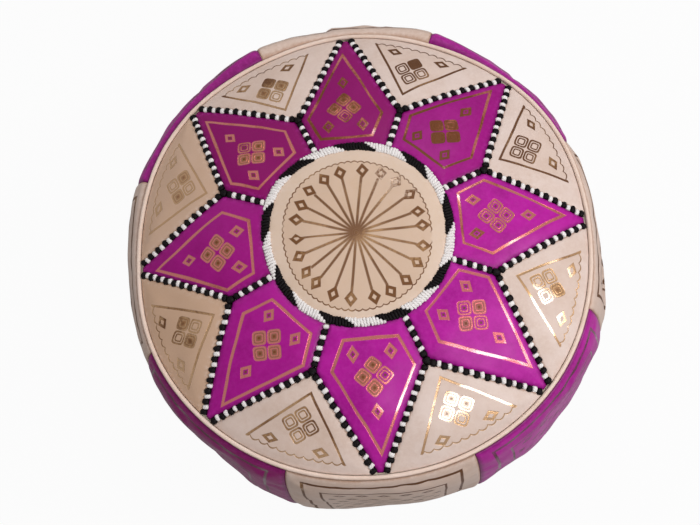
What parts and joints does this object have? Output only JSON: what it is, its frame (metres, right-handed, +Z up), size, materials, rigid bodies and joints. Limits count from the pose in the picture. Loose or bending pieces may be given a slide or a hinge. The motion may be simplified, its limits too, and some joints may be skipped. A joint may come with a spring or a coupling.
{
  "type": "leather pouf",
  "caption": "Round stuffed leather pouf with a laced star top in two colours, swelling side panels, piped seams and a zip in the base.",
  "frame": {"origin": "centre of the base, on the floor", "axes": "+Z up along the pouf's axis; +Y towards the tip of the first kite panel; the zip runs along X"},
  "size_m": [0.524, 0.524, 0.3215],
  "materials": {
    "magenta_leather": "satin",
    "natural_leather": "satin",
    "black_thread": "waxed",
    "white_thread": "waxed",
    "cotton_cloth": "matte",
    "zip_tape": "matte",
    "zip_metal": "satin",
    "filling": "matte"
  },
  "bodies": {
    "pouf": {"centre_disc": "natural_leather", "kite_panel_1": "magenta_leather", "kite_panel_2": "magenta_leather", "kite_panel_3": "magenta_leather", "kite_panel_4": "magenta_leather", "kite_panel_5": "magenta_leather", "kite_panel_6": "magenta_leather", "kite_panel_7": "magenta_leather", "kite_panel_8": "magenta_leather", "top_wedge_1": "natural_leather", "top_wedge_2": "natural_leather", "top_wedge_3": "natural_leather", "top_wedge_4": "natural_leather", "top_wedge_5": "natural_leather", "top_wedge_6": "natural_leather", "top_wedge_7": "natural_leather", "top_wedge_8": "natural_leather", "star_lacing_black": "black_thread", "star_lacing_white": "white_thread", "ring_lacing_black": "black_thread", "ring_lacing_white": "white_thread", "rim_piping_cover": "natural_leather", "rim_piping_cord": "cotton_cloth", "side_panel_1": "natural_leather", "side_panel_2": "magenta_leather", "side_panel_3": "natural_leather", "side_panel_4": "magenta_leather", "side_panel_5": "natural_leather", "side_panel_6": "magenta_leather", "side_panel_7": "natural_leather", "side_panel_8": "magenta_leather", "base_piping_cover": "natural_leather", "base_piping_cord": "cotton_cloth", "base_panel_front": "natural_leather", "base_panel_back": "natural_leather", "zip_tape_front": "zip_tape", "zip_tape_back": "zip_tape", "zip_teeth_front": "zip_metal", "zip_teeth_back": "zip_metal", "zip_top_stops": "zip_metal", "zip_bottom_stop": "zip_metal", "inner_bag_top": "cotton_cloth", "inner_bag_side": "cotton_cloth", "inner_bag_base": "cotton_cloth", "filling": "filling"},
    "zip_slider": {"zip_slider_body": "zip_metal"},
    "zip_pull": {"zip_pull_tab": "zip_metal"}
  },
  "joints": [
    {"name": "zip_slide", "type": "slide", "parent": "pouf", "child": "zip_slider", "axis": [1, 0, 0], "range_m": [-0.274, 0], "deforming": ["zip_teeth_front", "zip_teeth_back", "zip_tape_front", "zip_tape_back"]},
    {"name": "pull_hinge", "type": "hinge", "parent": "zip_slider", "child": "zip_pull", "pos_m": [0.1382, 0, 0.0075], "axis": [0, -1, 0], "range_deg": [0, 180]}
  ]
}
